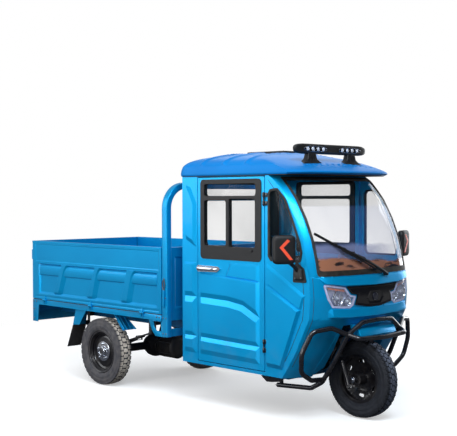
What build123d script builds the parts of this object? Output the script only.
"""Electric cargo tricycle: enclosed cab over one steered front wheel, open dropside bed over two rear wheels.

Millimetres.  +X is forward, +Y is the vehicle's left, +Z is up, and the ground is z = 0.
Every length along X is written from the rear axle.  keep() then moves each piece back by
ORIGIN_X, so that the finished model stands with its origin in the middle of its footprint.
Pieces at the front are placed from the front axle, and heights follow the tyres, the bed
and the cab's floor and roof, so a changed size carries its neighbours along.
"""

import math
import os

from build123d import *

os.makedirs("parts", exist_ok=True)

# ---------------------------------------------------------------- clearances
CLEAR = 0.3
RUNNING_FIT = 0.05
MOVING_GAP = 6.0
GLASS_FIT = 0.4

# ---------------------------------------------------------------- driving sizes: wheels and axles
WHEELBASE = 2164.0
TYRE_RADIUS = 262.5
TYRE_WIDTH = 117.0
RIM_SEAT_RADIUS = 152.0
RIM_FLANGE_RADIUS = RIM_SEAT_RADIUS + 17.0
RIM_WIDTH = TYRE_WIDTH - 25.0
RIM_WALL = 8.0
HUB_RADIUS = 42.0
REAR_HUB_HALF = 38.0
REAR_STUB_RADIUS = 17.0
FRONT_AXLE_RADIUS = 9.0
AXLE_TUBE_RADIUS = 32.0
DRUM_RADIUS = 95.0
HUB_Z = TYRE_RADIUS

# ---------------------------------------------------------------- driving sizes: steering
RAKE_DEG = 20.0
AXLE_LEAD = 54.0
FORK_LEG_RADIUS = 17.0
FORK_LEG_Y = TYRE_WIDTH / 2.0 + FORK_LEG_RADIUS + 16.5
CROWN_Z = 2.0 * TYRE_RADIUS + 60.0
STEM_RADIUS = 19.0
HEAD_TUBE_RADIUS = 32.0
HEAD_TUBE_LENGTH_Z = 136.0
HANDLEBAR_Z = CROWN_Z + 400.0
HANDLEBAR_RADIUS = 12.0
CLAMP_HEIGHT = 40.0
FENDER_RADIUS = TYRE_RADIUS + 36.0
FENDER_HALF_WIDTH = FORK_LEG_Y - FORK_LEG_RADIUS
FENDER_SHEET = 6.0

# ---------------------------------------------------------------- driving sizes: cab
CAB_REAR_X = 922.0
CAB_HALF_WIDTH = 507.0
CAB_BOTTOM_Z = 2.0 * TYRE_RADIUS - 235.0
CAB_HEIGHT = 1332.0
CAB_TOP_Z = CAB_BOTTOM_Z + CAB_HEIGHT
CAB_WALL = 20.0
CAB_FLOOR = 20.0
DOOR_REAR_X = CAB_REAR_X + 169.0
DOOR_WIDTH = 655.0
DOOR_FRONT_X = DOOR_REAR_X + DOOR_WIDTH
DOOR_BOTTOM_Z = CAB_BOTTOM_Z + 28.0
DOOR_TOP_Z = CAB_TOP_Z - 12.0
DOOR_THICKNESS = 32.0
DOOR_FRAME = 36.0
SILL_Z = CAB_BOTTOM_Z + 758.0
GLASS_THICKNESS = 6.0
COWL_TOP_Z = CAB_BOTTOM_Z + 672.0
SCREEN_BOTTOM_Z = COWL_TOP_Z + 30.0
SCREEN_TOP_Z = CAB_TOP_Z - 22.0
SCREEN_HALF_WIDTH = CAB_HALF_WIDTH - 52.0
# The side seam where the nose and windscreen begin. Beside the nose: height over the cab's
# underside, and how far ahead of the front axle it stands there. Beside the windscreen: share of
# the height from the cowl's top to the cab's, and the same distance.
NOSE_SEAM = (
    (0.0, -259.0),
    (62.0, -215.0),
    (187.0, -135.0),
    (323.0, -66.0),
    (403.0, -24.0),
    (531.0, -14.0),
    (657.0, -24.0),
)
SCREEN_SEAM = (
    (0.1667, -49.0),
    (0.359, -83.0),
    (0.5515, -138.0),
    (0.7455, -212.0),
    (0.844, -266.0),
    (0.9439, -328.0),
    (1.0, -386.0),
)
SCREEN_RISE = CAB_TOP_Z - COWL_TOP_Z
SEAM = (
    *[(CAB_BOTTOM_Z + rise, WHEELBASE + ahead) for rise, ahead in NOSE_SEAM],
    *[(COWL_TOP_Z + share * SCREEN_RISE, WHEELBASE + ahead) for share, ahead in SCREEN_SEAM],
)
# How much further forward the front stands than the seam, at each share of the half width.
NOSE_BULGE = ((1.0, 0.0), (0.93, 30.0), (0.83, 60.0), (0.42, 102.0), (0.0, 118.0))
# Headlamp outline: share of the half width, and height from the lamps' middle.
LAMP_Z = COWL_TOP_Z - 144.0
LAMP_OUTLINE = (
    (0.846, 96.0),
    (0.789, 95.0),
    (0.540, 76.0),
    (0.499, 49.0),
    (0.454, 22.0),
    (0.361, 13.0),
    (0.398, -45.0),
    (0.464, -65.0),
    (0.748, -53.0),
    (0.819, 1.0),
    (0.858, 84.0),
)
# Half of the grille's outline between the lamps, from its top edge to its lowest point.
GRILLE_OUTLINE = (
    (0.524, 79.0),
    (0.485, 53.0),
    (0.446, 30.0),
    (0.343, 21.0),
    (0.380, -44.0),
    (0.110, -65.0),
)
# The quarter window's front edge: share of the height from its foot to the cab's top, and how
# far it stands back from the seam.
QUARTER_WINDOW_EDGE = (
    (0.0, 50.0),
    (0.106, 22.0),
    (0.2173, 21.0),
    (0.4541, 29.0),
    (0.7138, 32.0),
    (0.8357, 52.0),
)
LAMP_PROUD = 4.0
LAMP_BODY = 30.0
GRILLE_PROUD = 7.0
ARCH_HALF_WIDTH = FORK_LEG_Y + 160.0
ARCH_TOP_Z = 2.0 * TYRE_RADIUS + 115.0
ARCH_FLARE = 62.0
ARCH_LINER = 6.0
LIP_HALF_WIDTH = ARCH_HALF_WIDTH - 66.0
REAR_WINDOW_HALF_WIDTH = CAB_HALF_WIDTH - 162.0
REAR_WINDOWS_Z = ((CAB_TOP_Z - 537.0, CAB_TOP_Z - 175.0), (CAB_TOP_Z - 139.0, CAB_TOP_Z - 58.0))

# ---------------------------------------------------------------- driving sizes: roof and light bar
ROOF_REAR_X = CAB_REAR_X - 46.0
ROOF_FRONT_X = WHEELBASE - 193.0
ROOF_HALF_WIDTH = CAB_HALF_WIDTH + 15.0
ROOF_SHEET = 24.0
# Roof rings: height over the cab, inset of the sides, of the rear, of the front, corner radius.
ROOF_RINGS = (
    (CLEAR, 0.0, 0.0, 0.0, 80.0),
    (22.0, 0.0, 0.0, 0.0, 80.0),
    (50.0, 3.0, 5.0, 80.0, 80.0),
    (78.0, 10.0, 18.0, 168.0, 82.0),
    (106.0, 52.0, 36.0, 262.0, 95.0),
    (130.0, 132.0, 68.0, 357.0, 110.0),
    (148.0, 250.0, 125.0, 468.0, 115.0),
    (161.0, 340.0, 235.0, 600.0, 100.0),
)
ROOF_RIB_HEIGHT = 7.0
ROOF_RIBS_X = (CAB_REAR_X + 218.0, CAB_REAR_X + 438.0, CAB_REAR_X + 658.0)
LIGHT_BAR_X = WHEELBASE - 279.0
LIGHT_BAR_HALF_LENGTH = 374.0
LIGHT_BAR_DEPTH = 48.0
LIGHT_BAR_BOTTOM_Z = CAB_TOP_Z + 139.0
LIGHT_BAR_HEIGHT = 69.0
LIGHT_BAR_FOOT_Y = 212.0

# ---------------------------------------------------------------- driving sizes: cargo bed
BED_REAR_X = -949.0
BED_HALF_WIDTH = 572.0
TYRE_INSET = 3.5
REAR_TRACK = 2.0 * (BED_HALF_WIDTH - TYRE_INSET) - TYRE_WIDTH
RAIL_BOTTOM_Z = 2.0 * TYRE_RADIUS + 46.0
BED_SEAM_Z = RAIL_BOTTOM_Z + 47.0
BOARD_HEIGHT = 490.0
BED_TOP_Z = BED_SEAM_Z + BOARD_HEIGHT
RAIL_WIDTH = 50.0
PANEL_THICKNESS = 30.0
FLOOR_THICKNESS = 18.0
BEAM_DEPTH = 60.0
REAR_PLATE_DEPTH = 91.0
REAR_PLATE_DROP = 147.0
HOOP_DEPTH = 60.0
HOOP_WIDTH = 47.0
HOOP_REAR_X = CAB_REAR_X - HOOP_DEPTH - 97.0
HOOP_TOP_Z = BED_TOP_Z + 474.0
HOOP_CORNER_RADIUS = 190.0
HOOP_FOOT_Z = RAIL_BOTTOM_Z - 115.0
BED_FRONT_X = HOOP_REAR_X - MOVING_GAP
HINGE_PIN_RADIUS = 5.0
KNUCKLE_RADIUS = 8.5
KNUCKLE_OFFSET = 9.0
KNUCKLE_LENGTH = 36.0
HINGE_AXIS_Z = BED_SEAM_Z - 3.0
SIDE_HINGES_X = (BED_REAR_X + 189.0, (BED_REAR_X + BED_FRONT_X) / 2.0 - 15.0, BED_FRONT_X - 219.0)
TAIL_HINGES_Y = (-0.664 * BED_HALF_WIDTH, 0.0, 0.664 * BED_HALF_WIDTH)
TAIL_HALF_WIDTH = BED_HALF_WIDTH - PANEL_THICKNESS - MOVING_GAP
RECESS_DEPTH = 14.0
RECESS_Z = (BED_SEAM_Z + 44.0, BED_TOP_Z - 190.0)
BULGE_Z = (BED_TOP_Z - 297.0, BED_TOP_Z - 203.0)

# ---------------------------------------------------------------- driving sizes: frame and running gear
RAIL_Y = 300.0
RAIL_HALF = 20.0
LOWER_RAIL_HEIGHT = 46.0
MAIN_RAIL_HEIGHT = 80.0
LOWER_RAIL_Z = (CAB_BOTTOM_Z - CLEAR - LOWER_RAIL_HEIGHT, CAB_BOTTOM_Z - CLEAR)
MAIN_RAIL_Z = (RAIL_BOTTOM_Z - MAIN_RAIL_HEIGHT, RAIL_BOTTOM_Z)
DROP_X = CAB_REAR_X - 72.0
DROP_HALF = 25.0
NECK_FOOT_X = WHEELBASE - 374.0
NECK_HALF_WIDTH = 28.0
SPRING_Y = 385.0
SPRING_HALF_WIDTH = 25.0
SPRING_EYE_X = 430.0
FINAL_DRIVE_RADIUS = 98.0
MOTOR_REAR_X = 104.0
MOTOR_LENGTH = 200.0
MOTOR_RADIUS = 88.0

# ---------------------------------------------------------------- driving sizes: outer fittings
BAR_TUBE_RADIUS = 16.0
MIRROR_X = WHEELBASE - 124.0
MIRROR_Y = CAB_HALF_WIDTH + 125.0
MIRROR_Z = COWL_TOP_Z + 178.0
MIRROR_SIZE = (46.0, 150.0, 184.0)
MIRROR_TURN_DEG = 30.0
LAMP_TAIL_DEPTH = 16.0

# ---------------------------------------------------------------- worked out from the driving sizes
FRONT_TYRE_X = WHEELBASE + TYRE_RADIUS
TAIL_REAR_X = BED_REAR_X - KNUCKLE_OFFSET - KNUCKLE_RADIUS
ORIGIN_X = (FRONT_TYRE_X + TAIL_REAR_X) / 2.0


# ---------------------------------------------------------------- small helpers
def block(x, y, z):
    """A box from its (low, high) pairs along X, Y and Z."""
    size = (x[1] - x[0], y[1] - y[0], z[1] - z[0])
    middle = ((x[0] + x[1]) / 2.0, (y[0] + y[1]) / 2.0, (z[0] + z[1]) / 2.0)
    return Pos(*middle) * Box(*size)


def rod(start, end, radius):
    """A round bar between two points."""
    a, b = Vector(*start), Vector(*end)
    plane = Plane(origin=a, z_dir=b - a)
    return extrude(plane * Circle(radius), (b - a).length)


def bar_along(points, radii, radius):
    """A round tube through the points, its corners rounded by the radii, filled in."""
    path = FilletPolyline(*points, radius=radii)
    start = Plane(origin=path @ 0, z_dir=path % 0)
    return sweep(start * Circle(radius), path=path)


def slab_xz(points, y):
    """An outline in the side view, filled between two distances across."""
    outline = make_face(Polyline(*[(px, 0, pz) for px, pz in points], close=True))
    face = Pos(0, y[0], 0) * outline
    return extrude(face, amount=y[1] - y[0], dir=(0, 1, 0))


def slab_yz(points, x):
    """An outline in the front view, filled between two distances along."""
    outline = make_face(Polyline(*[(0, py, pz) for py, pz in points], close=True))
    face = Pos(x[0], 0, 0) * outline
    return extrude(face, amount=x[1] - x[0], dir=(1, 0, 0))


def sided(side, near, far):
    """A (low, high) pair across the vehicle on one side of it."""
    return tuple(sorted((side * near, side * far)))


def mirrored(solid):
    """The same piece on the other side of the vehicle."""
    return mirror(solid, about=Plane.XZ)


def turned_ring(profile, centre):
    """A ring turned about a cross axis through centre, from (radius, width) corners."""
    outline = make_face(Polyline(*[(0, w, r) for r, w in profile], close=True))
    return Pos(*centre) * revolve(outline, axis=Axis.Y)


def keep(name, *solids):
    """Write one node: its solids, moved so that the origin is mid-footprint."""
    shifted = [Pos(-ORIGIN_X, 0, 0) * solid for solid in solids]
    pieces = [piece for solid in shifted for piece in solid.solids()]
    shape = pieces[0] if len(pieces) == 1 else Compound(children=pieces)
    export_step(shape, f"parts/{name}.step")
    print(name, len(pieces), "solid(s)", round(sum(p.volume for p in pieces) / 1e6, 3), "litres")


def fuse(first, *others):
    """One solid from pieces that meet."""
    shape = first
    for other in others:
        shape = shape + other
    return shape


# ---------------------------------------------------------------- wheels
def tyre(centre):
    """A pneumatic tyre on its rim's seat, its shoulders rounded off."""
    half = TYRE_WIDTH / 2.0
    bead = RIM_WIDTH / 2.0 - 9.0
    wall = TYRE_RADIUS - RIM_FLANGE_RADIUS
    # From the bead to the middle of the tread: share of the wall's height, inset from the side.
    shape = ((0.235, 3.0), (0.55, 0.0), (0.85, 5.0), (0.968, 20.0), (1.0, 34.0))
    outside = [(RIM_FLANGE_RADIUS + share * wall, half - inset) for share, inset in shape]
    half_profile = [(RIM_SEAT_RADIUS + RUNNING_FIT, bead), (RIM_FLANGE_RADIUS + 2.0, bead), *outside]
    other_half = [(radius, -width) for radius, width in reversed(half_profile)]
    return turned_ring(half_profile + other_half, centre)


def rim(centre, hub_half, bore, dish, holes):
    """A pressed steel rim: barrel, two flanges, a disc dished outwards, its hub and its holes."""
    half = RIM_WIDTH / 2.0
    well = RIM_SEAT_RADIUS
    lip = half - 8.5
    barrel = turned_ring(
        (
            (well - RIM_WALL, -half),
            (RIM_FLANGE_RADIUS, -half),
            (RIM_FLANGE_RADIUS, -lip),
            (well, -lip),
            (well, lip),
            (RIM_FLANGE_RADIUS, lip),
            (RIM_FLANGE_RADIUS, half),
            (well - RIM_WALL, half),
        ),
        centre,
    )
    step = HUB_RADIUS + 0.36 * (well - HUB_RADIUS)
    bend = HUB_RADIUS + 0.55 * (well - HUB_RADIUS)
    disc = turned_ring(
        (
            (bore, dish - 5.0),
            (step, dish - 5.0),
            (bend, dish - 14.0),
            (well - 4.0, dish - 22.0),
            (well - 4.0, dish - 16.0),
            (bend, dish - 6.0),
            (step, dish + 3.0),
            (bore, dish + 3.0),
        ),
        centre,
    )
    hub = turned_ring(
        ((bore, -hub_half), (HUB_RADIUS, -hub_half), (HUB_RADIUS, hub_half), (bore, hub_half)),
        centre,
    )
    wheel = fuse(barrel, disc, hub)
    middle = HUB_RADIUS + 0.66 * (well - HUB_RADIUS)
    slot = SlotOverall(44.0, 22.0)
    cutter = Rot(90, 0, 0) * extrude(slot, 40.0, both=True)
    for index in range(holes):
        angle = 360.0 * index / holes
        wheel = wheel - Pos(*centre) * Rot(0, angle, 0) * Pos(0, dish - 10.0, middle) * cutter
    return wheel


def build_wheels():
    """Front and rear wheels, each a tyre on its own rim."""
    front = (WHEELBASE, 0.0, HUB_Z)
    keep("front_tyre", tyre(front))
    front_bore = FRONT_AXLE_RADIUS + RUNNING_FIT
    keep("front_rim", rim(front, FORK_LEG_Y - FORK_LEG_RADIUS - MOVING_GAP, front_bore, 6.0, 6))
    for side, word in ((-1.0, "right"), (1.0, "left")):
        centre = (0.0, side * REAR_TRACK / 2.0, HUB_Z)
        keep(f"rear_tyre_{word}", tyre(centre))
        wheel = rim((0.0, 0.0, 0.0), REAR_HUB_HALF, REAR_STUB_RADIUS + RUNNING_FIT, 14.0, 8)
        turn = Rot(0, 0, 180) if side < 0 else Rot(0, 0, 0)
        keep(f"rear_rim_{word}", Pos(*centre) * turn * wheel)


# ---------------------------------------------------------------- steering
def steer_point(z):
    """Where the steering axis is at a height."""
    foot_x = WHEELBASE - AXLE_LEAD
    return (foot_x - (z - HUB_Z) * math.tan(math.radians(RAKE_DEG)), 0.0, z)


def build_steering():
    """Fork with its crown, stem and axle, the handlebar, and the mudguard that turns with them."""
    crown_x, _, crown_z = steer_point(CROWN_Z)
    foot_x, _, foot_z = steer_point(HUB_Z - 40.0)
    legs = []
    for side in (-1.0, 1.0):
        leg_y = side * FORK_LEG_Y
        leg = rod((foot_x, leg_y, foot_z), (crown_x, leg_y, crown_z), FORK_LEG_RADIUS)
        lug_z = (HUB_Z - 24.0, HUB_Z + 24.0)
        lug = block((foot_x - 5.0, WHEELBASE + 18.0), (leg_y - 7.0, leg_y + 7.0), lug_z)
        legs.append(fuse(leg, lug))
    crown_width = 2.0 * FORK_LEG_Y + 40.0
    crown = Pos(crown_x, 0, crown_z) * Rot(0, -RAKE_DEG, 0) * Box(62, crown_width, 24)
    top = steer_point(HANDLEBAR_Z)
    stem = rod((crown_x, 0, crown_z), top, STEM_RADIUS)
    axle_end = FORK_LEG_Y + 16.0
    axle = rod((WHEELBASE, -axle_end, HUB_Z), (WHEELBASE, axle_end, HUB_Z), FRONT_AXLE_RADIUS)
    keep("fork", fuse(crown, stem, legs[0], legs[1], axle))

    clamp_z = HANDLEBAR_Z + CLAMP_HEIGHT / 2.0 * math.cos(math.radians(RAKE_DEG))
    clamp = Pos(*steer_point(clamp_z)) * Rot(0, -RAKE_DEG, 0) * Box(52, 70, CLAMP_HEIGHT)
    bar_x = top[0] - 7.0
    bar_z = HANDLEBAR_Z + 22.0
    half_bar = [
        (bar_x, 0.0, bar_z),
        (bar_x, 120.0, bar_z),
        (bar_x - 33.0, 220.0, bar_z + 48.0),
        (bar_x - 143.0, 330.0, bar_z + 38.0),
    ]
    grip_side = bar_along(half_bar, (60.0, 60.0), HANDLEBAR_RADIUS)
    keep("handlebar", fuse(clamp, grip_side, mirrored(grip_side)))

    inner = FENDER_RADIUS - FENDER_SHEET
    ring = turned_ring(
        (
            (inner, -FENDER_HALF_WIDTH),
            (FENDER_RADIUS, -FENDER_HALF_WIDTH),
            (FENDER_RADIUS, FENDER_HALF_WIDTH),
            (inner, FENDER_HALF_WIDTH),
        ),
        (WHEELBASE, 0.0, HUB_Z),
    )
    reach = 1.4 * FENDER_RADIUS
    wedge = [
        (WHEELBASE, HUB_Z),
        (WHEELBASE + 0.42 * reach, HUB_Z + reach),
        (WHEELBASE, HUB_Z + 2.0 * reach),
        (WHEELBASE - reach, HUB_Z + 0.75 * reach),
        (WHEELBASE - reach, HUB_Z + 0.10 * reach),
    ]
    guard = ring & slab_xz(wedge, (-FENDER_HALF_WIDTH - 5.0, FENDER_HALF_WIDTH + 5.0))
    hanger_x = crown_x + 40.0
    hanger_foot = HUB_Z + math.sqrt(inner**2 - (hanger_x - WHEELBASE) ** 2)
    hanger = rod((hanger_x, 0.0, hanger_foot + 2.0), steer_point(CROWN_Z - 12.5), 12.0)
    keep("front_fender", fuse(guard, hanger - crown))


# ---------------------------------------------------------------- chassis and running gear
def build_chassis():
    """Ladder frame: high rails under the bed, low rails under the cab, and the neck with its head tube."""
    low_z, high_z = LOWER_RAIL_Z, MAIN_RAIL_Z
    pieces = []
    for side in (-1.0, 1.0):
        across = sided(side, RAIL_Y - RAIL_HALF, RAIL_Y + RAIL_HALF)
        pieces.append(block((BED_REAR_X + BEAM_DEPTH + CLEAR, DROP_X + DROP_HALF), across, high_z))
        pieces.append(block((DROP_X - DROP_HALF, DROP_X + DROP_HALF), across, (low_z[0], high_z[0] + 5.0)))
        pieces.append(block((DROP_X - DROP_HALF, NECK_FOOT_X), across, low_z))
    for x in (BED_REAR_X + BEAM_DEPTH + 70.0, -SPRING_EYE_X - 90.0, MOTOR_REAR_X + 16.0, DROP_X - 150.0):
        pieces.append(block((x - 20.0, x + 20.0), (-RAIL_Y, RAIL_Y), (high_z[0] + 20.0, high_z[1] - 5.0)))
    for x in (DROP_X, (DROP_X + NECK_FOOT_X) / 2.0, NECK_FOOT_X - DROP_HALF):
        pieces.append(block((x - DROP_HALF, x + DROP_HALF), (-RAIL_Y, RAIL_Y), low_z))
    head_low = steer_point(CROWN_Z + 24.0)
    head_high = steer_point(CROWN_Z + 24.0 + HEAD_TUBE_LENGTH_Z)
    knee_z = low_z[1] + 140.0
    neck = slab_xz(
        (
            (NECK_FOOT_X - 60.0, low_z[0]),
            (NECK_FOOT_X, low_z[0]),
            (NECK_FOOT_X + 45.0, knee_z),
            (head_low[0] - 38.0, head_low[2] - 12.0),
            (head_high[0] - 10.0, head_high[2] - 14.0),
            (head_high[0] - 40.0, head_high[2] - 26.0),
            (NECK_FOOT_X - 30.0, knee_z),
        ),
        (-NECK_HALF_WIDTH, NECK_HALF_WIDTH),
    )
    head = rod(head_low, head_high, HEAD_TUBE_RADIUS)
    bore_top = head_high[2] + 40.0
    bore = rod(steer_point(CROWN_Z), steer_point(bore_top), STEM_RADIUS + RUNNING_FIT)
    keep("chassis_frame", fuse(*pieces, neck, head) - bore)


def build_running_gear():
    """Live rear axle with its drums and final drive, motor, leaf springs and dampers."""
    inner_face = REAR_TRACK / 2.0 - REAR_HUB_HALF - CLEAR
    stub_end = REAR_TRACK / 2.0 + 50.0
    tube = rod((0, -inner_face, HUB_Z), (0, inner_face, HUB_Z), AXLE_TUBE_RADIUS)
    stub = rod((0, -stub_end, HUB_Z), (0, stub_end, HUB_Z), REAR_STUB_RADIUS)
    final_drive = fuse(
        Pos(0, 0, HUB_Z) * Sphere(FINAL_DRIVE_RADIUS),
        rod((0, 0, HUB_Z), (MOTOR_REAR_X, 0, HUB_Z), FINAL_DRIVE_RADIUS - 22.0),
    )
    drums = [
        rod((0, side * (inner_face - 46.0), HUB_Z), (0, side * (inner_face - 2.0), HUB_Z), DRUM_RADIUS)
        for side in (-1.0, 1.0)
    ]
    keep("rear_axle", fuse(tube, stub, final_drive, drums[0], drums[1]))
    motor_end = MOTOR_REAR_X + MOTOR_LENGTH
    keep("drive_motor", rod((MOTOR_REAR_X, 0, HUB_Z), (motor_end, 0, HUB_Z), MOTOR_RADIUS))

    spring_top = MAIN_RAIL_Z[0]
    eye_z = spring_top - 51.0
    seat_z = HUB_Z + AXLE_TUBE_RADIUS + CLEAR
    mid_z = (seat_z + eye_z) / 2.0 - 18.0
    half_leaf = [(60.0, seat_z), (200.0, mid_z), (SPRING_EYE_X, eye_z - 10.0)]
    half_top = [(SPRING_EYE_X - 6.0, eye_z + 6.0), (200.0, mid_z + 23.0), (60.0, seat_z + 34.0)]
    rear_top = [(-x, z) for x, z in reversed(half_top)]
    rear_leaf = [(-x, z) for x, z in reversed(half_leaf)]
    outline = half_leaf + half_top + rear_top + rear_leaf
    suspension = []
    for side in (-1.0, 1.0):
        across = sided(side, SPRING_Y - SPRING_HALF_WIDTH, SPRING_Y + SPRING_HALF_WIDTH)
        arm = sided(side, RAIL_Y + RAIL_HALF + CLEAR, SPRING_Y)
        eyes = []
        for end in (-1.0, 1.0):
            eye_x = end * SPRING_EYE_X
            shackle_x = (eye_x - 16.0, eye_x + 16.0)
            eyes.append(rod((eye_x, across[0], eye_z), (eye_x, across[1], eye_z), 18.0))
            eyes.append(block(shackle_x, across, (eye_z, spring_top + 40.0)))
            eyes.append(block(shackle_x, arm, (spring_top, spring_top + 40.0)))
        suspension.append(fuse(slab_xz(outline, across), *eyes))
        damper_y = side * (RAIL_Y + 45.0)
        piston_foot = (-60.0, damper_y - side * 4.0, HUB_Z + 60.0)
        piston = rod(piston_foot, (-150.0, damper_y, spring_top - 21.0), 13.0)
        sleeve = rod((-95.0, damper_y, HUB_Z + 82.5), (-155.0, damper_y, spring_top - 9.0), 21.0)
        suspension.append(fuse(piston, sleeve))
    keep("rear_suspension", *suspension)


# ---------------------------------------------------------------- cargo bed
def knuckle_set(centre, along, outward):
    """One hinge: (fixed part, moving part) on a pin that runs along X or along Y."""
    half = KNUCKLE_LENGTH / 2.0
    third = KNUCKLE_LENGTH / 6.0
    x, y, z = centre
    span = tuple(sorted((outward * -KNUCKLE_OFFSET, 0.0)))

    def barrel(low, high, radius):
        if along == "x":
            return rod((x + low, y, z), (x + high, y, z), radius)
        return rod((x, y + low, z), (x, y + high, z), radius)

    def leaf(low, high, bottom, top):
        if along == "x":
            return block((x + low, x + high), (y + span[0], y + span[1]), (z + bottom, z + top))
        return block((x + span[0], x + span[1]), (y + low, y + high), (z + bottom, z + top))

    pin = barrel(-half - 4.0, half + 4.0, HINGE_PIN_RADIUS)
    ends = [
        fuse(barrel(a, b, KNUCKLE_RADIUS), leaf(a, b, -30.0, 0.0))
        for a, b in ((-half, -third - CLEAR), (third + CLEAR, half))
    ]
    bore = barrel(-half, half, HINGE_PIN_RADIUS + RUNNING_FIT)
    moving = fuse(barrel(-third, third, KNUCKLE_RADIUS), leaf(-third, third, 0.0, 34.0)) - bore
    return fuse(pin, *ends), moving


def side_panel():
    """The left dropside: plain top band, recess with a long bulge and three slanted ribs, rear catch."""
    outer_y = BED_HALF_WIDTH
    floor_y = outer_y - RECESS_DEPTH
    x = (BED_REAR_X, BED_FRONT_X)
    length = x[1] - x[0]
    panel = block(x, (outer_y - PANEL_THICKNESS, outer_y), (BED_SEAM_Z, BED_TOP_Z))
    recess_x = (x[0] + 0.054 * length, x[1] - 0.028 * length)
    panel = panel - block(recess_x, (floor_y, outer_y + 1.0), RECESS_Z)
    bulge = block((recess_x[0] - 1.0, recess_x[1] + 1.0), (floor_y - 1.0, outer_y - 4.0), BULGE_Z)
    panel = fuse(panel, bulge)
    for share in (0.2775, 0.5433, 0.7904):
        top_x = x[0] + share * length
        foot_x = top_x - 0.054 * length
        rib = slab_xz(
            (
                (foot_x - 60.0, RECESS_Z[0] - 1.0),
                (foot_x + 60.0, RECESS_Z[0] - 1.0),
                (top_x + 48.0, RECESS_Z[1] + 1.0),
                (top_x - 48.0, RECESS_Z[1] + 1.0),
            ),
            (floor_y - 1.0, outer_y - 1.0),
        )
        panel = fuse(panel, rib)
    catch_z = (BED_TOP_Z - 158.0, BED_TOP_Z - 75.0)
    return fuse(panel, block((x[0] - 16.0, x[0] + 2.0), (outer_y - 27.0, outer_y), catch_z))


def rear_board():
    """The tailgate's board with its recess and three ribs."""
    x = (BED_REAR_X, BED_REAR_X + PANEL_THICKNESS)
    board = block(x, (-TAIL_HALF_WIDTH, TAIL_HALF_WIDTH), (BED_SEAM_Z, BED_TOP_Z))
    inside = TAIL_HALF_WIDTH - 45.0
    board = board - block((x[0] - 1.0, x[0] + 10.0), (-inside, inside), RECESS_Z)
    for share in (-0.43, 0.0, 0.43):
        y = share * TAIL_HALF_WIDTH
        rib_z = (RECESS_Z[0] - 2.0, RECESS_Z[1] + 2.0)
        board = fuse(board, block((x[0] + 1.0, x[0] + 12.0), (y - 35.0, y + 35.0), rib_z))
    return board


def bed_rails(fixed_knuckles):
    """Side rails, beams and the plates that close the rear corners, as one welded frame."""
    inner_y = BED_HALF_WIDTH - RAIL_WIDTH
    rail_top = BED_SEAM_Z - FLOOR_THICKNESS - CLEAR
    rail_z = (RAIL_BOTTOM_Z, rail_top)
    lip_z = (rail_top - 1.0, BED_SEAM_Z - MOVING_GAP)
    whole_x = (BED_REAR_X, BED_FRONT_X)
    whole_y = (-BED_HALF_WIDTH, BED_HALF_WIDTH)
    plate_low = RAIL_BOTTOM_Z - REAR_PLATE_DROP
    pieces = []
    for side in (-1.0, 1.0):
        pieces.append(block(whole_x, sided(side, inner_y, BED_HALF_WIDTH), rail_z))
        lip_y = sided(side, TAIL_HALF_WIDTH + CLEAR, BED_HALF_WIDTH)
        pieces.append(block(whole_x, lip_y, lip_z))
        plate = slab_xz(
            (
                (BED_REAR_X, plate_low),
                (BED_REAR_X + REAR_PLATE_DEPTH - 17.0, plate_low),
                (BED_REAR_X + REAR_PLATE_DEPTH, RAIL_BOTTOM_Z + 1.0),
                (BED_REAR_X, RAIL_BOTTOM_Z + 1.0),
            ),
            sided(side, BED_HALF_WIDTH - 6.0, BED_HALF_WIDTH),
        )
        pieces.append(plate)
    beam = block((BED_REAR_X, BED_REAR_X + BEAM_DEPTH), whole_y, (RAIL_BOTTOM_Z - 55.0, rail_top))
    valance = block((BED_REAR_X, BED_REAR_X + 6.0), whole_y, (plate_low, RAIL_BOTTOM_Z))
    tail_lip = block((BED_REAR_X, BED_REAR_X + PANEL_THICKNESS), whole_y, lip_z)
    front_beam = block((BED_FRONT_X - 50.0, BED_FRONT_X), (-inner_y - 1.0, inner_y + 1.0), rail_z)
    return fuse(beam, valance, tail_lip, front_beam, *pieces, *fixed_knuckles)


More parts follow.
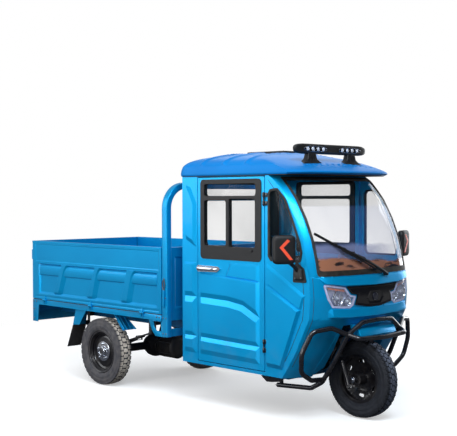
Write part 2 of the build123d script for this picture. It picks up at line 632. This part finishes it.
def guard_hoop():
    """The rounded hoop behind the cab, its ties to the main rails and the dropsides' latch plates."""
    middle_x = HOOP_REAR_X + HOOP_DEPTH / 2.0
    leg_inner = BED_HALF_WIDTH - HOOP_WIDTH
    outer = [
        (middle_x, -BED_HALF_WIDTH, HOOP_FOOT_Z),
        (middle_x, -BED_HALF_WIDTH, HOOP_TOP_Z),
        (middle_x, BED_HALF_WIDTH, HOOP_TOP_Z),
        (middle_x, BED_HALF_WIDTH, HOOP_FOOT_Z),
    ]
    inner = [
        (middle_x, -leg_inner, HOOP_FOOT_Z),
        (middle_x, -leg_inner, HOOP_TOP_Z - HOOP_WIDTH),
        (middle_x, leg_inner, HOOP_TOP_Z - HOOP_WIDTH),
        (middle_x, leg_inner, HOOP_FOOT_Z),
    ]
    big = FilletPolyline(*outer, radius=HOOP_CORNER_RADIUS)
    small = FilletPolyline(*inner, radius=HOOP_CORNER_RADIUS - HOOP_WIDTH)
    feet = [Line(outer[0], inner[0]), Line(outer[3], inner[3])]
    outline = make_face(Wire([*big.edges(), *small.edges(), *feet[0].edges(), *feet[1].edges()]))
    hoop = Pos(-HOOP_DEPTH / 2.0, 0, 0) * extrude(outline, amount=HOOP_DEPTH, dir=(1, 0, 0))
    tie_x = (HOOP_REAR_X + 5.0, HOOP_REAR_X + 50.0)
    latch_z = (BED_SEAM_Z + 48.0, BED_SEAM_Z + 278.0)
    for side in (-1.0, 1.0):
        tie_y = sided(side, RAIL_Y + RAIL_HALF + CLEAR, BED_HALF_WIDTH - 5.0)
        hoop = fuse(hoop, block(tie_x, tie_y, (HOOP_FOOT_Z + 1.0, HOOP_FOOT_Z + 53.0)))
        latch_y = sided(side, BED_HALF_WIDTH - 1.0, BED_HALF_WIDTH + 13.0)
        hoop = fuse(hoop, block((HOOP_REAR_X + 6.0, HOOP_REAR_X + 52.0), latch_y, latch_z))
    return hoop


def build_bed():
    """Floor tray, fixed rails, headboard, guard hoop, and the three boards that drop."""
    tray_x = (BED_REAR_X + PANEL_THICKNESS + MOVING_GAP, BED_FRONT_X)
    keep(
        "bed_floor",
        block(tray_x, (-TAIL_HALF_WIDTH, TAIL_HALF_WIDTH), (BED_SEAM_Z - FLOOR_THICKNESS, BED_SEAM_Z)),
    )
    fixed_knuckles = []
    moving = {-1.0: [], 1.0: [], 0.0: []}
    for side in (-1.0, 1.0):
        for x in SIDE_HINGES_X:
            centre = (x, side * (BED_HALF_WIDTH + KNUCKLE_OFFSET), HINGE_AXIS_Z)
            fixed, free = knuckle_set(centre, "x", side)
            fixed_knuckles.append(fixed)
            moving[side].append(free)
    for y in TAIL_HINGES_Y:
        fixed, free = knuckle_set((BED_REAR_X - KNUCKLE_OFFSET, y, HINGE_AXIS_Z), "y", -1.0)
        fixed_knuckles.append(fixed)
        moving[0.0].append(free)
    keep("bed_rails", bed_rails(fixed_knuckles))
    panel = side_panel()
    keep("dropside_left", fuse(panel, *moving[1.0]))
    keep("dropside_right", fuse(mirrored(panel), *moving[-1.0]))
    keep("tailgate", fuse(rear_board(), *moving[0.0]))
    head_x = (HOOP_REAR_X + 20.0, HOOP_REAR_X + 44.0)
    head_y = BED_HALF_WIDTH - HOOP_WIDTH - CLEAR
    keep("bed_headboard", block(head_x, (-head_y, head_y), (RAIL_BOTTOM_Z + CLEAR, BED_TOP_Z)))
    keep("guard_hoop", guard_hoop())


def build_mudguards():
    """Straps and flaps behind the rear wheels, plates ahead of them, and the step brackets."""
    top = RAIL_BOTTOM_Z - CLEAR
    outer = BED_HALF_WIDTH - 26.0
    strap_foot = RAIL_BOTTOM_Z - 137.0
    plate_foot = RAIL_BOTTOM_Z - 119.0
    step_foot = RAIL_BOTTOM_Z - 122.0
    rear_x = -(TYRE_RADIUS + 92.0)
    front_x_top = TYRE_RADIUS - 113.0
    strap = slab_xz(
        ((rear_x, top), (rear_x + 8.0, top), (rear_x - 35.0, strap_foot), (rear_x - 43.0, strap_foot)),
        (outer - 120.0, outer),
    )
    flap_foot = strap_foot - 184.0
    flap = slab_xz(
        (
            (rear_x - 44.0, strap_foot - CLEAR),
            (rear_x - 36.0, strap_foot - CLEAR),
            (rear_x - 116.0, flap_foot),
            (rear_x - 124.0, flap_foot),
        ),
        (outer - 130.0, outer),
    )
    sheet = slab_xz(
        (
            (front_x_top, top),
            (front_x_top + 9.0, top),
            (front_x_top + 121.0, plate_foot),
            (front_x_top + 112.0, plate_foot),
        ),
        (outer - 100.0, outer),
    )
    gusset = slab_xz(
        (
            (front_x_top + 2.0, top - 5.0),
            (front_x_top + 114.0, plate_foot),
            (front_x_top + 164.0, plate_foot + 6.0),
        ),
        (outer - 100.0, outer - 94.0),
    )
    step_end = HOOP_REAR_X - CLEAR
    step = slab_xz(
        (
            (step_end - 187.0, top),
            (step_end - 146.0, top - 81.0),
            (step_end - 106.0, step_foot),
            (step_end, step_foot),
            (step_end, top),
        ),
        (outer - 6.0, outer),
    )
    window = slab_xz(
        (
            (step_end - 132.0, top - 12.0),
            (step_end - 118.0, top - 55.0),
            (step_end - 92.0, top - 82.0),
            (step_end - 40.0, top - 82.0),
            (step_end - 40.0, top - 12.0),
        ),
        (outer - 10.0, outer + 4.0),
    )
    solids = []
    for piece in (strap, flap, fuse(sheet, gusset), step - window):
        solids.append(piece)
        solids.append(mirrored(piece))
    keep("rear_mudguards", *solids)


# ---------------------------------------------------------------- cab shell
NOSE_BACK_X = DOOR_FRONT_X - 120.0
NOSE_KEEP_X = DOOR_FRONT_X + 24.0
NOSE_REACH_X = WHEELBASE + 436.0
NOSE_WIDE = 2.0 * CAB_HALF_WIDTH
LINER_REAR_X = WHEELBASE - 294.0
SPLINE_RISE = 4.0


def bulged_ring(seam_x, half_width, z):
    """Points along a front at one height, from right to left: bulged forward in the middle."""
    right = [(seam_x + forward, -share * half_width, z) for share, forward in NOSE_BULGE]
    return right + [(px, -py, pz) for px, py, pz in reversed(right[:-1])]


def seam_at(z):
    """The seam's distance forward at any height."""
    for (low_z, low_x), (high_z, high_x) in zip(SEAM, SEAM[1:]):
        if z <= high_z:
            share = (z - low_z) / (high_z - low_z)
            return low_x + share * (high_x - low_x)
    return SEAM[-1][1]


def front_x(y, z):
    """Where the front's outer surface is, a distance across at a height."""
    share = abs(y) / CAB_HALF_WIDTH
    for (wide, low), (narrow, high) in zip(NOSE_BULGE, NOSE_BULGE[1:]):
        if share >= narrow:
            return seam_at(z) + low + (wide - share) / (wide - narrow) * (high - low) + SPLINE_RISE
    return seam_at(z)


def front_solid(half_width, push, bottom, top, back_x):
    """Everything behind the front's outer surface, moved by push and cut to a height range."""
    rings = []
    for z in [bottom] + [z for z, _ in SEAM if bottom + 8.0 < z < top - 8.0] + [top]:
        points = bulged_ring(seam_at(z) + push, half_width, z)
        sides = Polyline(points[-1], (back_x, half_width, z), (back_x, -half_width, z), points[0])
        rings.append(Wire([*Spline(*points).edges(), *sides.edges()]))
    return Solid.make_loft(rings, ruled=True)


def front_skin(outside, inside, bottom, top):
    """A layer that follows the front, between two distances ahead of its surface."""
    outer = front_solid(CAB_HALF_WIDTH, outside, bottom, top, NOSE_BACK_X)
    return outer - front_solid(CAB_HALF_WIDTH, inside, bottom - 10.0, top + 10.0, NOSE_BACK_X - 20.0)


def front_shell(bottom, top):
    """The front's wall between two heights, its sides cut back to the seam and its ends to the doors."""
    outer = front_solid(CAB_HALF_WIDTH, 0.0, bottom, top, NOSE_BACK_X)
    inner = front_solid(CAB_HALF_WIDTH - CAB_WALL, -CAB_WALL, bottom - 5.0, top + 5.0, NOSE_BACK_X - 50.0)
    wall = outer - inner
    inside = CAB_HALF_WIDTH - CAB_WALL - CLEAR
    middle = block((NOSE_KEEP_X, NOSE_REACH_X), (-inside, inside), (bottom - 10.0, top + 10.0))
    seam = [(x + 0.5, z) for z, x in SEAM]
    over_z = CAB_TOP_Z + 9.0
    ahead = [(NOSE_REACH_X, CAB_BOTTOM_Z), *seam, (seam[-1][0], over_z), (NOSE_REACH_X, over_z)]
    return (wall & middle) + (wall & slab_xz(ahead, (-NOSE_WIDE, NOSE_WIDE)))


def lamp_outline():
    """The left headlamp's corners in the front view."""
    return [(share * CAB_HALF_WIDTH, LAMP_Z + rise) for share, rise in LAMP_OUTLINE]


def grille_outline():
    """The grille's corners in the front view, round both sides."""
    left = [(share * CAB_HALF_WIDTH, LAMP_Z + rise) for share, rise in GRILLE_OUTLINE]
    return left + [(-y, z) for y, z in reversed(left)]


def arch_cutter():
    """The wheel arch's outline in the front view, flared at its foot, filled in along the nose."""
    flare = ARCH_HALF_WIDTH + ARCH_FLARE
    foot_z = CAB_BOTTOM_Z - 10.0
    half = [
        (flare, foot_z),
        (flare, CAB_BOTTOM_Z + 7.0),
        (ARCH_HALF_WIDTH, CAB_BOTTOM_Z + 60.0),
        (ARCH_HALF_WIDTH, ARCH_TOP_Z),
    ]
    return slab_yz(half + [(-y, z) for y, z in reversed(half)], (NOSE_KEEP_X - 10.0, NOSE_REACH_X))


def arch_liner():
    """The walls and roof of the wheel arch, behind the nose."""
    room = front_solid(CAB_HALF_WIDTH, -2.0, CAB_BOTTOM_Z, COWL_TOP_Z, NOSE_BACK_X)
    wide = ARCH_HALF_WIDTH + ARCH_LINER
    top_z = (ARCH_TOP_Z, ARCH_TOP_Z + ARCH_LINER)
    wall_z = (CAB_BOTTOM_Z + 50.0, top_z[1])
    walls = [
        block((LINER_REAR_X, NOSE_REACH_X), sided(side, ARCH_HALF_WIDTH, wide), wall_z)
        for side in (-1.0, 1.0)
    ]
    ceiling = block((WHEELBASE - 119.0, NOSE_REACH_X), (-wide, wide), top_z)
    return fuse(walls[0], ceiling, walls[1]) & room


def nose_lip():
    """The short fixed mudguard that juts from the nose above the wheel."""
    x, z = WHEELBASE, ARCH_TOP_Z
    above = [(x + 40.0, z + 10.0), (x + 92.0, z - 4.0), (x + 122.0, z - 30.0), (x + 140.0, z - 68.0)]
    below = [(x + 132.0, z - 71.0), (x + 115.0, z - 36.0), (x + 88.0, z - 13.0), (x + 40.0, z + 2.0)]
    sheet = slab_xz(above + below, (-LIP_HALF_WIDTH, LIP_HALF_WIDTH))
    cheek = slab_xz(above + [(x + 76.0, z - 60.0)], (LIP_HALF_WIDTH - 6.0, LIP_HALF_WIDTH))
    return fuse(sheet, cheek, mirrored(cheek))


def cab_side():
    """The cab's left side: one flat panel round the door, with the front quarter window cut."""
    y = (CAB_HALF_WIDTH - CAB_WALL, CAB_HALF_WIDTH)
    through = (y[0] - 1.0, y[1] + 1.0)
    outline = [(CAB_REAR_X, CAB_TOP_Z), (CAB_REAR_X, CAB_BOTTOM_Z), *[(x, z) for z, x in SEAM]]
    door = block(
        (DOOR_REAR_X - MOVING_GAP, DOOR_FRONT_X + MOVING_GAP),
        through,
        (DOOR_BOTTOM_Z - MOVING_GAP, DOOR_TOP_Z + MOVING_GAP),
    )
    return slab_xz(outline, y) - door - slab_xz(quarter_window(0.0), through)


def quarter_window(inset):
    """The front quarter window's outline in the side view, drawn in by an inset."""
    rear_x = DOOR_FRONT_X + 38.0
    low_z = SILL_Z + 8.0
    rise = CAB_TOP_Z - low_z
    seam_side = []
    for share, back in QUARTER_WINDOW_EDGE:
        z = low_z + share * rise
        seam_side.append((seam_at(z) - back, z))
    ahead = [(x - 1.3 * inset, z) for x, z in seam_side[1:-1]]
    foot = (seam_side[0][0] - inset, low_z + inset)
    head = (seam_side[-1][0] - inset, seam_side[-1][1] - 1.4 * inset)
    return (
        (rear_x + inset, low_z + 29.0 + inset),
        (rear_x + 23.0 + inset, low_z + inset),
        foot,
        *ahead,
        head,
        (rear_x + 16.0 + inset, low_z + 0.8233 * rise - inset),
        (rear_x + inset, low_z + 0.7756 * rise - inset),
    )


def build_nose():
    """Cowl with its arch and lip, headlamps, tail lamps, grille, screen frame and windscreen."""
    cowl = fuse(front_shell(CAB_BOTTOM_Z, COWL_TOP_Z) - arch_cutter(), arch_liner(), nose_lip())
    lamp_face = make_face(Polyline(*[(0, y, z) for y, z in lamp_outline()], close=True))
    reach = NOSE_REACH_X - NOSE_KEEP_X
    lamp_hole = Pos(NOSE_KEEP_X, 0, 0) * extrude(lamp_face, amount=reach, dir=(1, 0, 0))
    keep("nose_cowl", cowl - lamp_hole - mirrored(lamp_hole))

    lamp_plug = offset(lamp_face, amount=-CLEAR, kind=Kind.INTERSECTION)
    lamp_zone = Pos(NOSE_KEEP_X, 0, 0) * extrude(lamp_plug, amount=reach, dir=(1, 0, 0))
    lamp = front_skin(LAMP_PROUD, -LAMP_BODY, LAMP_Z - 90.0, LAMP_Z + 120.0) & lamp_zone
    tail = block(
        (BED_REAR_X - LAMP_TAIL_DEPTH, BED_REAR_X - CLEAR),
        (BED_HALF_WIDTH - 165.0, BED_HALF_WIDTH - 45.0),
        (RAIL_BOTTOM_Z - 49.0, RAIL_BOTTOM_Z - 5.0),
    )
    keep("lamps", lamp, mirrored(lamp), tail, mirrored(tail))

    grille_zone = slab_yz(grille_outline(), (NOSE_KEEP_X, NOSE_REACH_X))
    keep("grille_panel", front_skin(GRILLE_PROUD, CLEAR, LAMP_Z - 80.0, LAMP_Z + 90.0) & grille_zone)

    frame = front_shell(COWL_TOP_Z + CLEAR, CAB_TOP_Z)
    across = (-SCREEN_HALF_WIDTH, SCREEN_HALF_WIDTH)
    screen_x = (NOSE_KEEP_X - 10.0, NOSE_REACH_X)
    keep("screen_frame", frame - block(screen_x, across, (SCREEN_BOTTOM_Z, SCREEN_TOP_Z)))
    fit = SCREEN_HALF_WIDTH - GLASS_FIT
    pane = front_skin(-4.0, -8.0 - GLASS_THICKNESS, COWL_TOP_Z, CAB_TOP_Z)
    pane_z = (SCREEN_BOTTOM_Z + GLASS_FIT, SCREEN_TOP_Z - GLASS_FIT)
    keep("windscreen", pane & block(screen_x, (-fit, fit), pane_z))


def build_cab_shell():
    """Sides, rear wall, floor with the footwell, and the side and rear glass."""
    side = cab_side()
    keep("cab_side_left", side)
    keep("cab_side_right", mirrored(side))

    inside = CAB_HALF_WIDTH - CAB_WALL - CLEAR
    wall_x = (CAB_REAR_X, CAB_REAR_X + CAB_WALL)
    wall = block(wall_x, (-inside, inside), (CAB_BOTTOM_Z + CAB_FLOOR + CLEAR, CAB_TOP_Z))
    for low, high in REAR_WINDOWS_Z:
        hole_y = (-REAR_WINDOW_HALF_WIDTH, REAR_WINDOW_HALF_WIDTH)
        wall = wall - block((wall_x[0] - 1.0, wall_x[1] + 1.0), hole_y, (low, high))
    keep("cab_rear_wall", wall)

    step_x = NECK_FOOT_X + 5.0
    floor = block((CAB_REAR_X, step_x), (-inside, inside), (CAB_BOTTOM_Z, CAB_BOTTOM_Z + CAB_FLOOR))
    footwell = slab_xz(
        (
            (step_x - 20.0, CAB_BOTTOM_Z),
            (step_x, CAB_BOTTOM_Z),
            (step_x, CROWN_Z - 25.0),
            (step_x + 100.0, CROWN_Z + 115.0),
            (WHEELBASE - 44.0, CROWN_Z + 155.0),
            (WHEELBASE - 44.0, CROWN_Z + 169.0),
            (step_x + 90.0, CROWN_Z + 131.0),
            (step_x - 20.0, CROWN_Z - 15.0),
        ),
        (-inside, inside),
    )
    slot_x = (NECK_FOOT_X - 70.0, WHEELBASE - 124.0)
    slot_y = (-NECK_HALF_WIDTH - 17.0, NECK_HALF_WIDTH + 17.0)
    neck_slot = block(slot_x, slot_y, (CAB_BOTTOM_Z - 1.0, CROWN_Z + 175.0))
    keep("cab_floor", fuse(floor, footwell) - neck_slot)

    glass_y = (CAB_HALF_WIDTH - 8.0 - GLASS_THICKNESS, CAB_HALF_WIDTH - 8.0)
    quarter = slab_xz(quarter_window(GLASS_FIT), glass_y)
    pane_x = (CAB_REAR_X + 7.0, CAB_REAR_X + 7.0 + GLASS_THICKNESS)
    pane_y = (-REAR_WINDOW_HALF_WIDTH + GLASS_FIT, REAR_WINDOW_HALF_WIDTH - GLASS_FIT)
    panes = [block(pane_x, pane_y, (low + GLASS_FIT, high - GLASS_FIT)) for low, high in REAR_WINDOWS_Z]
    keep("cab_glass", quarter, mirrored(quarter), *panes)


def roof_ring(ring, grow, lift):
    """The roof's outline at one height: bulged front, rounded rear corners, grown and lifted."""
    rise, side, rear, front, corner = ring
    half = ROOF_HALF_WIDTH - side + grow
    z = CAB_TOP_Z + rise + lift
    rear_x = ROOF_REAR_X + rear - grow
    points = bulged_ring(ROOF_FRONT_X - front + grow, half, z)
    back = FilletPolyline(points[-1], (rear_x, half, z), (rear_x, -half, z), points[0], radius=corner)
    return Wire([*Spline(*points).edges(), *back.edges()])


def roof_solid(grow, lift):
    """Everything inside the roof's outer surface, grown sideways and lifted."""
    return Solid.make_loft([roof_ring(ring, grow, lift) for ring in ROOF_RINGS], ruled=True)


def build_roof():
    """The domed roof with its cross ribs, hollow below, its hatch, and the light bar on its feet."""
    shell = roof_solid(0.0, 0.0) - roof_solid(-ROOF_SHEET, -ROOF_SHEET)
    skirt = block(
        (ROOF_REAR_X + ROOF_SHEET, ROOF_FRONT_X - ROOF_SHEET),
        (-ROOF_HALF_WIDTH + ROOF_SHEET, ROOF_HALF_WIDTH - ROOF_SHEET),
        (CAB_TOP_Z, CAB_TOP_Z + 16.0),
    )
    rib_skin = roof_solid(ROOF_RIB_HEIGHT, ROOF_RIB_HEIGHT) - roof_solid(-2.0, -2.0)
    rib_z = (CAB_TOP_Z + 70.0, CAB_TOP_Z + 200.0)
    for x in ROOF_RIBS_X:
        band = block((x - 22.0, x + 22.0), (-ROOF_HALF_WIDTH, ROOF_HALF_WIDTH), rib_z)
        shell = fuse(shell, rib_skin & band)
    keep("roof", shell - skirt)

    rib_top_z = CAB_TOP_Z + ROOF_RINGS[-1][0] + ROOF_RIB_HEIGHT
    hatch_x = (ROOF_RIBS_X[1] - 190.0, ROOF_RIBS_X[1] + 190.0)
    hatch = block(hatch_x, (-110.0, 110.0), (rib_top_z + CLEAR, rib_top_z + 10.0))
    keep("roof_hatch", fillet(hatch.edges().filter_by(Axis.Z), 40.0))

    bar_z = (LIGHT_BAR_BOTTOM_Z, LIGHT_BAR_BOTTOM_Z + LIGHT_BAR_HEIGHT)
    bar_x = (LIGHT_BAR_X - LIGHT_BAR_DEPTH / 2.0, LIGHT_BAR_X + LIGHT_BAR_DEPTH / 2.0)
    bar = block(bar_x, (-LIGHT_BAR_HALF_LENGTH, LIGHT_BAR_HALF_LENGTH), bar_z)
    bar = fillet(bar.edges().filter_by(Axis.X), LIGHT_BAR_HEIGHT / 2.0 - 4.0)
    foot = slab_yz(
        (
            (LIGHT_BAR_FOOT_Y - 90.0, CAB_TOP_Z + 60.0),
            (LIGHT_BAR_FOOT_Y + 80.0, CAB_TOP_Z + 60.0),
            (LIGHT_BAR_FOOT_Y + 40.0, bar_z[0] + 2.0),
            (LIGHT_BAR_FOOT_Y - 40.0, bar_z[0] + 2.0),
        ),
        (LIGHT_BAR_X - 20.0, LIGHT_BAR_X + 20.0),
    )
    keep("light_bar", fuse(bar, foot, mirrored(foot)) - roof_solid(CLEAR, CLEAR))


# ---------------------------------------------------------------- doors
DOOR_HINGES_Z = (CAB_BOTTOM_Z + 197.0, CAB_TOP_Z - 162.0)
DOOR_HINGE_X = DOOR_FRONT_X + MOVING_GAP / 2.0
DOOR_HINGE_Y = CAB_HALF_WIDTH + KNUCKLE_RADIUS + 1.0
DOOR_KNUCKLE_HALF = 42.0
DOOR_KNUCKLE_MIDDLE = 14.0
WINDOW_CORNER_RADIUS = 30.0


def door_hinge(z):
    """One outside hinge at a height: (fixed part, moving lug)."""
    x, y = DOOR_HINGE_X, DOOR_HINGE_Y
    pin = rod((x, y, z - DOOR_KNUCKLE_HALF - 4.0), (x, y, z + DOOR_KNUCKLE_HALF + 4.0), HINGE_PIN_RADIUS)
    gap = DOOR_KNUCKLE_MIDDLE + CLEAR
    leaf_y = CAB_HALF_WIDTH + 7.0
    fixed = [pin]
    for low, high in ((z - DOOR_KNUCKLE_HALF, z - gap), (z + gap, z + DOOR_KNUCKLE_HALF)):
        fixed.append(rod((x, y, low), (x, y, high), KNUCKLE_RADIUS))
        fixed.append(block((x, x + 26.0), (CAB_HALF_WIDTH + CLEAR, leaf_y), (low, high)))
    span = (z - DOOR_KNUCKLE_MIDDLE, z + DOOR_KNUCKLE_MIDDLE)
    middle = rod((x, y, span[0]), (x, y, span[1]), KNUCKLE_RADIUS)
    leaf = block((x - 30.0, x), (CAB_HALF_WIDTH - 2.0, leaf_y), span)
    bore = rod((x, y, z - 20.0), (x, y, z + 20.0), HINGE_PIN_RADIUS + RUNNING_FIT)
    return fuse(*fixed), fuse(middle, leaf) - bore


def build_doors():
    """Both doors: frame with its window cut, pull handle and outside hinges, and the glass."""
    y = (CAB_HALF_WIDTH - DOOR_THICKNESS, CAB_HALF_WIDTH)
    window_x = (DOOR_REAR_X + DOOR_FRAME, DOOR_FRONT_X - DOOR_FRAME + 3.0)
    window_z = (SILL_Z, DOOR_TOP_Z - 20.0)
    panel = block((DOOR_REAR_X, DOOR_FRONT_X), y, (DOOR_BOTTOM_Z, DOOR_TOP_Z))
    opening = block(window_x, (y[0] - 1.0, y[1] + 1.0), window_z)
    panel = panel - fillet(opening.edges().filter_by(Axis.Y), WINDOW_CORNER_RADIUS)
    grip_z = (SILL_Z - 90.0, SILL_Z - 64.0)
    post_z = (grip_z[0] + 2.0, grip_z[1] - 2.0)
    posts_x = (DOOR_REAR_X + 8.0, DOOR_REAR_X + 168.0)
    handle = block((DOOR_REAR_X + 4.0, DOOR_REAR_X + 200.0), (y[1] + 14.0, y[1] + 26.0), grip_z)
    posts = [block((x, x + 28.0), (y[1] - 2.0, y[1] + 16.0), post_z) for x in posts_x]
    panel = fuse(panel, handle, *posts)
    pane = block(
        (window_x[0] + GLASS_FIT, window_x[1] - GLASS_FIT),
        (y[1] - 10.0 - GLASS_THICKNESS, y[1] - 10.0),
        (window_z[0] + GLASS_FIT, window_z[1] - GLASS_FIT),
    )
    pane = fillet(pane.edges().filter_by(Axis.Y), WINDOW_CORNER_RADIUS - GLASS_FIT)
    fixed_parts = []
    for z in DOOR_HINGES_Z:
        fixed, lug = door_hinge(z)
        fixed_parts.append(fixed)
        panel = fuse(panel, lug)
    keep("door_left", panel)
    keep("door_right", mirrored(panel))
    keep("door_glass_left", pane)
    keep("door_glass_right", mirrored(pane))
    keep("door_hinges", *fixed_parts, *[mirrored(part) for part in fixed_parts])


# ---------------------------------------------------------------- inside the cab
SEAT_DEPTH = 478.0
SEAT_TOP_Z = CAB_BOTTOM_Z + 310.0
SEAT_BOX_WALL = 12.0
CUSHION_HEIGHT = 95.0


def build_interior():
    """Seat on its box with the battery inside, and the dashboard."""
    x = (CAB_REAR_X + CAB_WALL + CLEAR, CAB_REAR_X + SEAT_DEPTH)
    y = CAB_HALF_WIDTH - 77.0
    z = (CAB_BOTTOM_Z + CAB_FLOOR + CLEAR, SEAT_TOP_Z)
    wall = SEAT_BOX_WALL
    inside_y = y - wall
    hollow = block((x[0] + wall, x[1] - wall), (-inside_y, inside_y), (z[0] + wall, z[1] - wall))
    keep("seat_base", block(x, (-y, y), z) - hollow)
    battery_y = y - 40.0
    battery_z = (z[0] + wall, z[0] + wall + 210.0)
    keep("battery_pack", block((x[0] + 30.0, x[1] - 30.0), (-battery_y, battery_y), battery_z))
    cushion_top = z[1] + CUSHION_HEIGHT
    cushion = block((x[0] + 4.0, x[1] + 10.0), (-y + 10.0, y - 10.0), (z[1] + CLEAR, cushion_top))
    keep("seat_cushion", fillet(cushion.edges(), 22.0))
    back = block((x[0] + 4.0, x[0] + 90.0), (-y + 20.0, y - 20.0), (cushion_top + CLEAR, SEAT_TOP_Z + 440.0))
    keep("seat_back", fillet(back.edges(), 24.0))
    dash_half = CAB_HALF_WIDTH - CAB_WALL - CLEAR
    dash_x = WHEELBASE - 204.0
    dash = slab_xz(
        (
            (dash_x, COWL_TOP_Z - 162.0),
            (dash_x + 125.0, COWL_TOP_Z - 162.0),
            (dash_x + 125.0, COWL_TOP_Z - 7.0),
            (dash_x + 80.0, COWL_TOP_Z + 13.0),
            (dash_x + 20.0, COWL_TOP_Z + 3.0),
        ),
        (-dash_half, dash_half),
    )
    keep("dashboard", dash)


# ---------------------------------------------------------------- outer fittings
def guard_point(ahead, y, rise):
    """A point of the tube guard, from the front axle and the cab's underside."""
    return (WHEELBASE + ahead, y, CAB_BOTTOM_Z + rise)


def build_bull_bar():
    """The black tube guard: two struts with feet, a bowed bar, an arch over it, and a loop each side."""
    joint_y = RAIL_Y - 29.0
    loop_y = CAB_HALF_WIDTH + 55.0
    joint = guard_point(99.0, joint_y, 298.0)
    other_joint = guard_point(99.0, -joint_y, 298.0)
    strut = bar_along(
        [
            guard_point(-474.0, RAIL_Y + 20.0, -94.0),
            guard_point(-174.0, RAIL_Y + 18.0, -76.0),
            guard_point(-89.0, RAIL_Y + 6.0, -28.0),
            guard_point(12.0, RAIL_Y - 8.0, 130.0),
            joint,
        ],
        (60.0, 60.0, 200.0),
        BAR_TUBE_RADIUS,
    )
    stub_x, stub_y = WHEELBASE - 442.0, RAIL_Y + 18.0
    stub_top = LOWER_RAIL_Z[0] - CLEAR
    stub = rod((stub_x, stub_y, CAB_BOTTOM_Z - 92.0), (stub_x, stub_y, stub_top), BAR_TUBE_RADIUS - 2.0)
    loop = bar_along(
        [
            joint,
            guard_point(50.0, joint_y + 104.0, 346.0),
            guard_point(0.0, loop_y - 60.0, 328.0),
            guard_point(-38.0, loop_y, 190.0),
            guard_point(-62.0, loop_y - 22.0, 62.0),
            guard_point(-62.0, loop_y - 122.0, 4.0),
            guard_point(-76.0, RAIL_Y + 8.0, -8.0),
        ],
        (80.0, 60.0, 110.0, 70.0, 50.0),
        BAR_TUBE_RADIUS,
    )
    half = fuse(strut, stub, loop)
    bow = bar_along(
        [
            other_joint,
            guard_point(172.0, -joint_y + 33.0, 274.0),
            guard_point(190.0, 0.0, 268.0),
            guard_point(172.0, joint_y - 33.0, 274.0),
            joint,
        ],
        (40.0, 400.0, 40.0),
        BAR_TUBE_RADIUS,
    )
    arch = bar_along(
        [
            other_joint,
            guard_point(123.0, -joint_y + 116.0, 369.0),
            guard_point(130.0, 0.0, 378.0),
            guard_point(123.0, joint_y - 116.0, 369.0),
            joint,
        ],
        (60.0, 500.0, 60.0),
        BAR_TUBE_RADIUS,
    )
    keep("bull_bar", fuse(half, mirrored(half), bow, arch))


def build_mirrors():
    """Mirror heads on their tapered brackets at the front of each side."""
    head = Pos(MIRROR_X, MIRROR_Y, MIRROR_Z) * Rot(0, 0, MIRROR_TURN_DEG) * Box(*MIRROR_SIZE)
    head = fillet(head.edges(), 20.0)
    side_y = CAB_HALF_WIDTH + CLEAR
    low_z = COWL_TOP_Z - 38.0
    foot = slab_xz(
        (
            (MIRROR_X - 34.0, low_z),
            (MIRROR_X + 82.0, low_z + 3.0),
            (MIRROR_X + 62.0, low_z + 92.0),
            (MIRROR_X - 6.0, low_z + 136.0),
            (MIRROR_X - 30.0, low_z + 90.0),
        ),
        (side_y, side_y + 20.0),
    )
    arm_foot = (MIRROR_X + 4.0, side_y + 14.0, low_z + 96.0)
    arm = rod(arm_foot, (MIRROR_X, MIRROR_Y - 18.0, MIRROR_Z - 60.0), 12.0)
    mirror_left = fuse(head, arm, foot)
    keep("mirrors", mirror_left, mirrored(mirror_left))


def on_screen(y, z, ahead):
    """A point a distance ahead of the windscreen's surface."""
    return (front_x(y, z) + ahead, y, z)


def build_wiper():
    """The wiper: spindle on the screen frame, arm and blade, parked to the right."""
    pivot_y, pivot_z = 0.24 * CAB_HALF_WIDTH, SCREEN_BOTTOM_Z - 16.0
    spindle = rod(on_screen(pivot_y, pivot_z, 0.1), on_screen(pivot_y, pivot_z, 30.0), 9.0)
    arm_line = [
        on_screen(pivot_y, pivot_z, 24.0),
        on_screen(-0.12 * CAB_HALF_WIDTH, pivot_z + 90.0, 30.0),
        on_screen(-0.55 * CAB_HALF_WIDTH, pivot_z + 181.0, 20.0),
    ]
    blade_line = [
        on_screen(-0.14 * CAB_HALF_WIDTH, pivot_z + 88.0, 16.0),
        on_screen(-0.50 * CAB_HALF_WIDTH, pivot_z + 174.0, 18.0),
        on_screen(-0.82 * CAB_HALF_WIDTH, pivot_z + 258.0, 16.0),
    ]
    arm = bar_along(arm_line, (300.0,), 5.0)
    keep("wiper", fuse(spindle, arm, bar_along(blade_line, (400.0,), 6.0)))


build_wheels()
build_steering()
build_chassis()
build_running_gear()
build_bed()
build_mudguards()
build_nose()
build_cab_shell()
build_roof()
build_doors()
build_interior()
build_bull_bar()
build_mirrors()
build_wiper()
